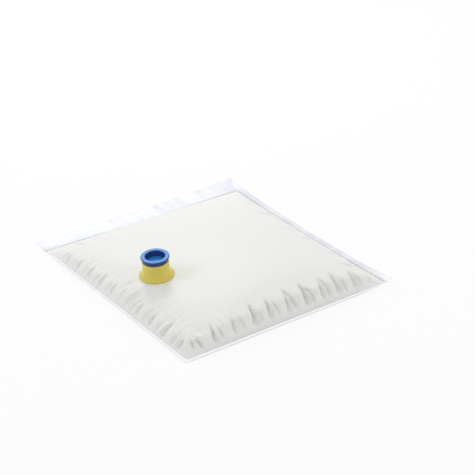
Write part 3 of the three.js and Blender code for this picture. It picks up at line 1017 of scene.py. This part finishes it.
# %% Clear film
FILM_COVER = 0.04
WELD_COVER = 0.40
# Where along the weld, and how milky
WELD_BAND = ((0.34, 0.0), (0.56, 1.0), (0.88, 1.0), (0.99, 0.3))
clear, shader = new_material("clear_film", 0.28)
tree = clear.node_tree
inside = node(tree, "ShaderNodeAttribute", attribute_name="inside")
streaks = object_noise(tree, 30.0, 2.5, (0.5, 1.6, 1))
veil = map_range(tree, streaks.outputs["Fac"], 0.35, 0.68, 0.20, 0.40)
over_liquid = map_range(tree, inside.outputs["Fac"], -0.5, 1.5, 0.0, 1.0)
alpha = node(tree, "ShaderNodeMix", data_type="FLOAT")
tree.links.new(over_liquid, alpha.inputs["Factor"])
alpha.inputs["B"].default_value = FILM_COVER
tree.links.new(alpha.outputs["Result"], shader.inputs["Alpha"])
wrinkles = object_noise(tree, 26.0, 2.0)
bump(tree, shader, wrinkles.outputs["Fac"], 0.001, 0.3)
weld_line = node(tree, "ShaderNodeValToRGB")
for position, shade in WELD_BAND:
    element = weld_line.color_ramp.elements.new(position)
    element.color = (shade, shade, shade, 1)
weld_line.color_ramp.elements[0].color = (0, 0, 0, 1)
weld_line.color_ramp.elements[-1].color = (0, 0, 0, 1)
tree.links.new(map_range(tree, inside.outputs["Fac"], -6.0, 0.0, 0.0, 1.0), weld_line.inputs["Fac"])
film_tone = node(tree, "ShaderNodeMix", data_type="RGBA")
film_tone.inputs["A"].default_value = (0.70, 0.745, 0.84, 1)
film_tone.inputs["B"].default_value = (0.66, 0.68, 0.70, 1)
tree.links.new(weld_line.outputs["Color"], film_tone.inputs["Factor"])
tree.links.new(film_tone.outputs["Result"], shader.inputs["Base Color"])
sealed = node(tree, "ShaderNodeMath", operation="MULTIPLY_ADD", use_clamp=True)
sealed.inputs[1].default_value = WELD_COVER
tree.links.new(weld_line.outputs["Color"], sealed.inputs[0])
tree.links.new(veil, sealed.inputs[2])
from_edge = node(tree, "ShaderNodeAttribute", attribute_name="from_edge")
cut_edge = node(tree, "ShaderNodeMath", operation="ADD", use_clamp=True)
tree.links.new(sealed.outputs[0], cut_edge.inputs[0])
tree.links.new(map_range(tree, from_edge.outputs["Fac"], 0.0, 2.0, 0.18, 0.0), cut_edge.inputs[1])
tree.links.new(cut_edge.outputs[0], alpha.inputs["A"])
envelope.data.materials.append(clear)
print("clear film:", len(tree.nodes), "nodes")

# %% [markdown]
# The spout is a soft yellow plastic that lets some light through, so its rim and its skirt glow where the
# lamp is behind them. A plain diffuse yellow looks painted. Subsurface scattering over a few millimetres
# and some sheen give the waxy look, and very fine noise takes the perfect gloss away.

# %% Yellow plastic
yellow, shader = new_material("yellow_plastic", 0.38)
shader.inputs["Base Color"].default_value = (0.70, 0.585, 0.10, 1)
shader.inputs["Subsurface Weight"].default_value = 0.35
shader.inputs["Subsurface Radius"].default_value = (1.0, 0.85, 0.25)
shader.inputs["Subsurface Scale"].default_value = 0.004
shader.inputs["Sheen Weight"].default_value = 1.0
shader.inputs["Sheen Roughness"].default_value = 0.35
shader.inputs["Sheen Tint"].default_value = (1.0, 0.96, 0.7, 1)
tree = yellow.node_tree
grain = object_noise(tree, 700.0, 2.0)
bump(tree, shader, grain.outputs["Fac"], 0.0001, 0.35)
spout.data.materials.append(yellow)
print("yellow plastic:", len(tree.nodes), "nodes")

# %% [markdown]
# The cap is a harder blue. Its flat faces are bright and its walls a deep blue, as the light from above
# and behind falls on them, and that light and shade is painted into its colour. Two materials would leave a
# hard border between them, so one material blends a lit blue and a shaded blue by an attribute: how far
# each point's normal turns from the cap's axis.

# %% Blue plastic
axis_layer = cap.data.attributes.new("facing", "FLOAT", "POINT")
for vertex, value in zip(cap.data.vertices, axis_layer.data):
    value.value = abs(vertex.normal.dot(spout_axis))
blue, shader = new_material("blue_plastic", 0.45)
tree = blue.node_tree
facing = node(tree, "ShaderNodeAttribute", attribute_name="facing")
# Painted light and shade: a dark blue on the walls and a bright blue on the faces that turn to the light.
lit_and_shaded_blue = node(tree, "ShaderNodeMix", data_type="RGBA")
lit_and_shaded_blue.inputs["A"].default_value = (0.002, 0.040, 0.215, 1)
lit_and_shaded_blue.inputs["B"].default_value = (0.008, 0.215, 0.66, 1)
tree.links.new(map_range(tree, facing.outputs["Fac"], 0.72, 0.98, 0.0, 1.0), lit_and_shaded_blue.inputs["Factor"])
tree.links.new(lit_and_shaded_blue.outputs["Result"], shader.inputs["Base Color"])
grain = object_noise(tree, 900.0, 2.0)
bump(tree, shader, grain.outputs["Fac"], 0.00006, 0.3)
cap.data.materials.append(blue)
print("blue plastic:", len(tree.nodes), "nodes")

# %% [markdown]
# Last, each piece is given to its body and takes the place of its plain solid. The cap rides on its own
# body, so it lifts off along the spout's axis. The pieces could be parented to empties by hand, but the
# frame already knows the bodies and their joints.

# %% Give the pieces to their bodies
for piece, body, solid, slot in (
    (envelope, "bag", "filled_bag", "film_and_liquid"),
    (liquid, "bag", "filled_bag", "film_and_liquid"),
    (spout, "bag", "spout", "spout_plastic"),
    (cap, "cap", "cap", "cap_plastic"),
):
    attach(piece, body)
    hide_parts(solid)
